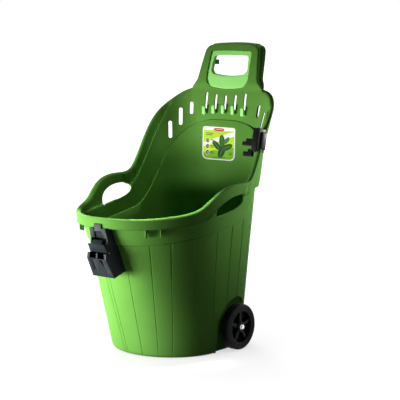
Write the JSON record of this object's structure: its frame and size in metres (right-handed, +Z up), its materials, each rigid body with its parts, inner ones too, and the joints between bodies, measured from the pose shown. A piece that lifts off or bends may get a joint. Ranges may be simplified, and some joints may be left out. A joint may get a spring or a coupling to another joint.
{
  "type": "utility cart",
  "caption": "Two-wheeled plastic tub cart with a tall back, a closed handle with a grip insert, side hand holes, tool pegs, a front holder and a wing clip.",
  "frame": {"origin": "on the floor under the middle of the bounding box", "axes": "+Z up, -Y towards the front of the tub, +X to the right seen from the front"},
  "size_m": [0.4576, 0.637, 0.8455],
  "materials": {
    "green_plastic": "satin moulded",
    "lime_plastic": "satin moulded",
    "grey_plastic": "fine-grained moulded",
    "black_plastic": "satin moulded",
    "tyre_rubber": "plain",
    "steel": "drawn",
    "bright_cap": "pressed"
  },
  "bodies": {
    "cart": {"tub_shell": "green_plastic", "handle_grip": "lime_plastic", "peg_comb": "lime_plastic", "axle": "steel", "spacer_right": "black_plastic", "spacer_left": "black_plastic", "axle_cap_right": "bright_cap", "axle_cap_left": "bright_cap", "holder_body": "grey_plastic", "holder_pin": "black_plastic", "wing_clip": "grey_plastic"},
    "wheel_right": {"wheel_right": "black_plastic", "tyre_right": "tyre_rubber"},
    "wheel_left": {"wheel_left": "black_plastic", "tyre_left": "tyre_rubber"},
    "flap": {"holder_flap": "grey_plastic"}
  },
  "joints": [
    {"name": "wheel_right_spin", "type": "hinge", "parent": "cart", "child": "wheel_right", "pos_m": [0.1795, 0.06805, 0.064], "axis": [1, 0, 0], "continuous": true},
    {"name": "wheel_left_spin", "type": "hinge", "parent": "cart", "child": "wheel_left", "pos_m": [-0.1795, 0.06805, 0.064], "axis": [1, 0, 0], "continuous": true},
    {"name": "holder_flap_hinge", "type": "hinge", "parent": "cart", "child": "flap", "pos_m": [0, -0.30145, 0.331], "axis": [-1, 0, 0], "range_deg": [0, 60]}
  ]
}
